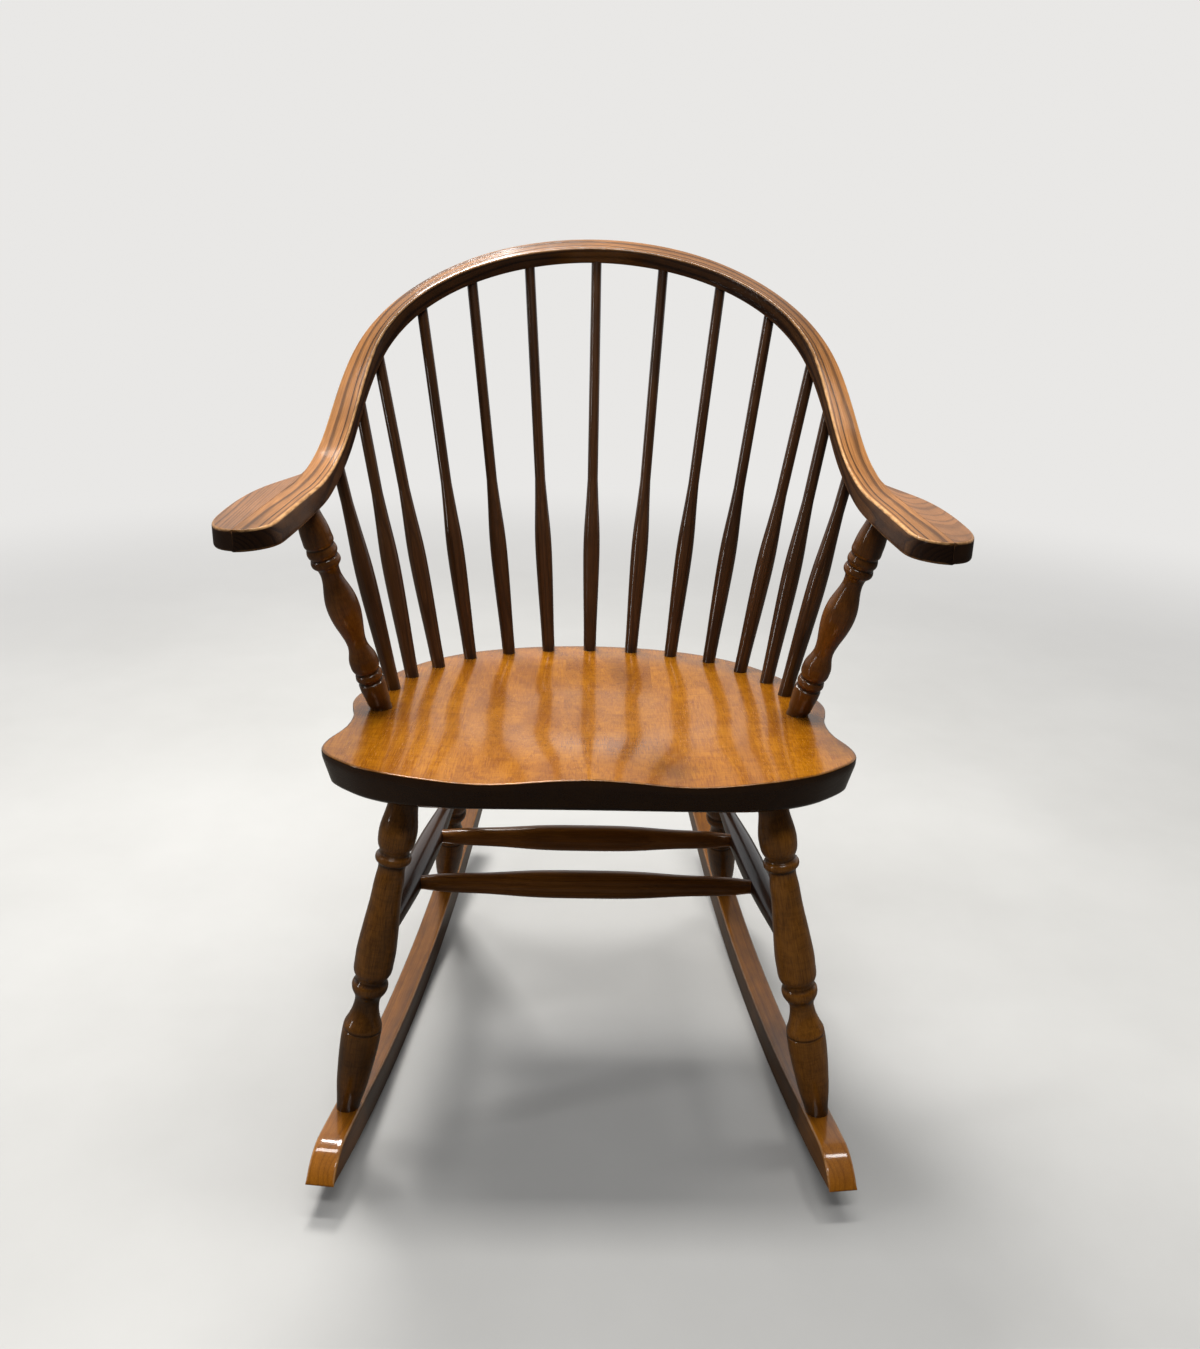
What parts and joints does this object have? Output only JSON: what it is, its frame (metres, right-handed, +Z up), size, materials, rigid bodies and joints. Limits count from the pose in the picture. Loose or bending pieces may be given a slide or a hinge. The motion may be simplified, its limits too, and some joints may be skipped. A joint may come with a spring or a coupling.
{
  "type": "rocking chair",
  "caption": "Wooden hoop back rocking chair: bent arm bow over a fan of turned spindles, saddled board seat, turned legs and stretchers on curved rockers.",
  "frame": {"origin": "on the floor, under the middle of the bounding box, with the rockers touching the floor at Z = 0", "axes": "+Z up; +Y from the seat's front edge to the back; +X to the right as seen from the front, across the chair's symmetry plane X = 0"},
  "size_m": [0.694, 0.7336, 0.9493],
  "materials": {
    "bow": "satin varnished ash, strong straight grain",
    "hand_pad": "satin varnished",
    "spindle": "dark red-brown satin varnish",
    "arm_post": "dark toned satin varnish",
    "seat": "glossy golden-orange varnish",
    "leg": "dark toned satin varnish",
    "side_stretcher": "dark satin varnish",
    "cross_stretcher": "satin varnish",
    "rocker": "satin varnish, bright at the worn nose"
  },
  "bodies": {
    "root": {"arm_bow": "bow", "hand_pad_left": "hand_pad", "hand_pad_right": "hand_pad", "arm_post_left": "arm_post", "arm_post_right": "arm_post", "spindle_01": "spindle", "spindle_02": "spindle", "spindle_03": "spindle", "spindle_04": "spindle", "spindle_05": "spindle", "spindle_06": "spindle", "spindle_07": "spindle", "spindle_08": "spindle", "spindle_09": "spindle", "spindle_10": "spindle", "spindle_11": "spindle", "spindle_12": "spindle", "spindle_13": "spindle", "seat_board_1": "seat", "seat_board_2": "seat", "seat_board_3": "seat", "seat_board_4": "seat", "seat_board_5": "seat", "leg_front_left": "leg", "leg_front_right": "leg", "leg_rear_left": "leg", "leg_rear_right": "leg", "side_stretcher_left": "side_stretcher", "side_stretcher_right": "side_stretcher", "cross_stretcher_front": "cross_stretcher", "cross_stretcher_rear": "cross_stretcher", "rocker_left": "rocker", "rocker_right": "rocker"}
  },
  "joints": []
}
